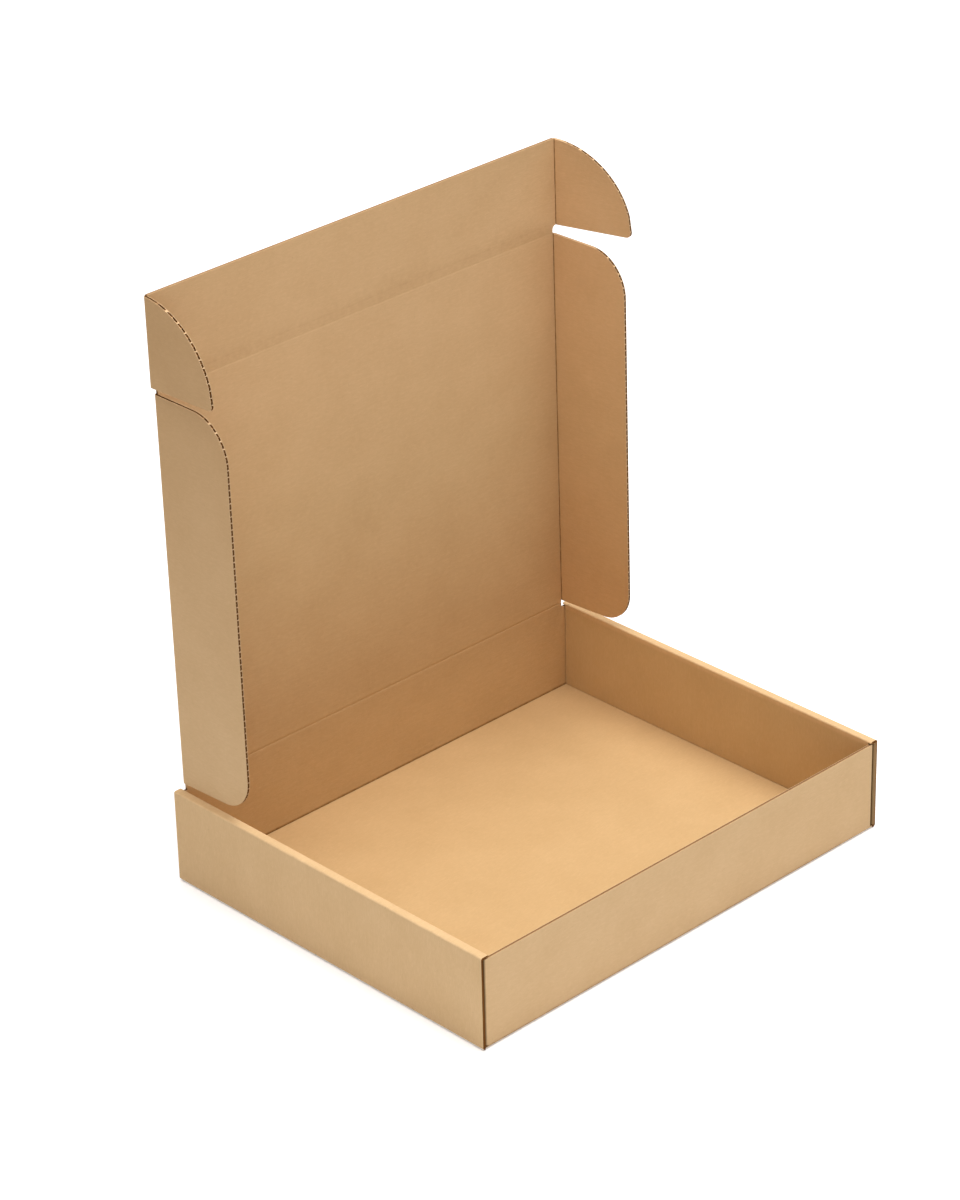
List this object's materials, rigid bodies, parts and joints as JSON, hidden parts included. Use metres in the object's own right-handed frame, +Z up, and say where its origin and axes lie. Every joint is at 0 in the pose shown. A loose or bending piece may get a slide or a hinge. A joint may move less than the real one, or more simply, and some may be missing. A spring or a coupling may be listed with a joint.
{
  "type": "folding shipping carton",
  "caption": "Shallow mailing carton folded from one sheet of thin corrugated board, with rolled side walls and an open tuck-in lid.",
  "frame": {"origin": "centre of the tray's underside, on the surface it rests on", "axes": "+X to the right as seen from the front wall, +Y to the back wall that carries the lid, +Z up"},
  "size_m": [0.2588, 0.203, 0.2909],
  "materials": {
    "corrugated_board": "uncoated brown kraft liner, matt"
  },
  "bodies": {
    "tray": {"tray": "corrugated_board"},
    "lid": {"lid": "corrugated_board"},
    "left_wing": {"lid_left_wing": "corrugated_board"},
    "right_wing": {"lid_right_wing": "corrugated_board"},
    "tuck_flap": {"tuck_flap": "corrugated_board"},
    "left_ear": {"tuck_left_ear": "corrugated_board"},
    "right_ear": {"tuck_right_ear": "corrugated_board"}
  },
  "joints": [
    {"name": "lid_hinge", "type": "hinge", "parent": "tray", "child": "lid", "pos_m": [0, 0.0993, 0.048], "axis": [-1, 0, 0], "range_deg": [-90.7, 89.3]},
    {"name": "left_wing_fold", "type": "hinge", "parent": "lid", "child": "left_wing", "pos_m": [-0.1212, 0.09839, 0.04801], "axis": [0, -0.0122, -0.9999], "range_deg": [-90.5, 89.5]},
    {"name": "right_wing_fold", "type": "hinge", "parent": "lid", "child": "right_wing", "pos_m": [0.1212, 0.09839, 0.04801], "axis": [0, 0.0122, 0.9999], "range_deg": [-90.5, 89.5]},
    {"name": "tuck_flap_fold", "type": "hinge", "parent": "lid", "child": "tuck_flap", "pos_m": [0, 0.10171, 0.24489], "axis": [-1, 0, 0], "range_deg": [-90, 0]},
    {"name": "left_ear_fold", "type": "hinge", "parent": "tuck_flap", "child": "left_ear", "pos_m": [-0.1232, 0.1008, 0.2449], "axis": [0, -0.0122, -0.9999], "range_deg": [-93.5, 86.5]},
    {"name": "right_ear_fold", "type": "hinge", "parent": "tuck_flap", "child": "right_ear", "pos_m": [0.1232, 0.1008, 0.2449], "axis": [0, 0.0122, 0.9999], "range_deg": [-98, 82]}
  ]
}
